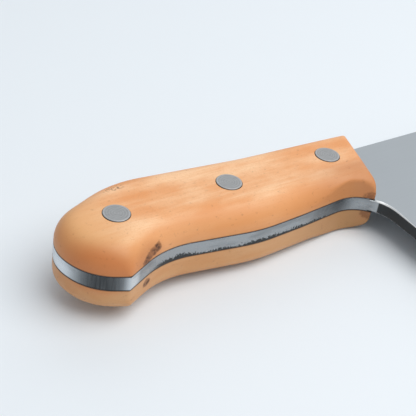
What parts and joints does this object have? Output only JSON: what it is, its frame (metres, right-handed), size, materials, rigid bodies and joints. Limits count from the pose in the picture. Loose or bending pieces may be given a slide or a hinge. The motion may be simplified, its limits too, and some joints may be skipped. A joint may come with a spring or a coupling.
{
  "type": "meat cleaver",
  "caption": "Full-tang meat cleaver with a tall rectangular blade, hanging hole, and a curved wooden handle riveted through the tang with a finger notch at the heel.",
  "frame": {"origin": "centre of the footprint, in the plane of the lower rivet heads that the knife lies on", "axes": "+X along the blade from butt to front, +Y from cutting edge to spine, +Z through the thickness, upper scale on top"},
  "size_m": [0.3056, 0.1034, 0.0236],
  "materials": {
    "steel": "satin ground cheeks and tang edge, black forge scale left on the heel edge",
    "wood": "light orange-tan hardwood, smooth satin oil",
    "cement": "dark cutler's cement",
    "rivet_steel": "turned and ground satin"
  },
  "bodies": {
    "root": {"blade": "steel", "upper_scale": "wood", "lower_scale": "wood", "upper_bedding": "cement", "lower_bedding": "cement", "rear_rivet_post": "rivet_steel", "middle_rivet_post": "rivet_steel", "front_rivet_post": "rivet_steel", "rear_rivet_sleeve": "rivet_steel", "middle_rivet_sleeve": "rivet_steel", "front_rivet_sleeve": "rivet_steel"}
  },
  "joints": []
}
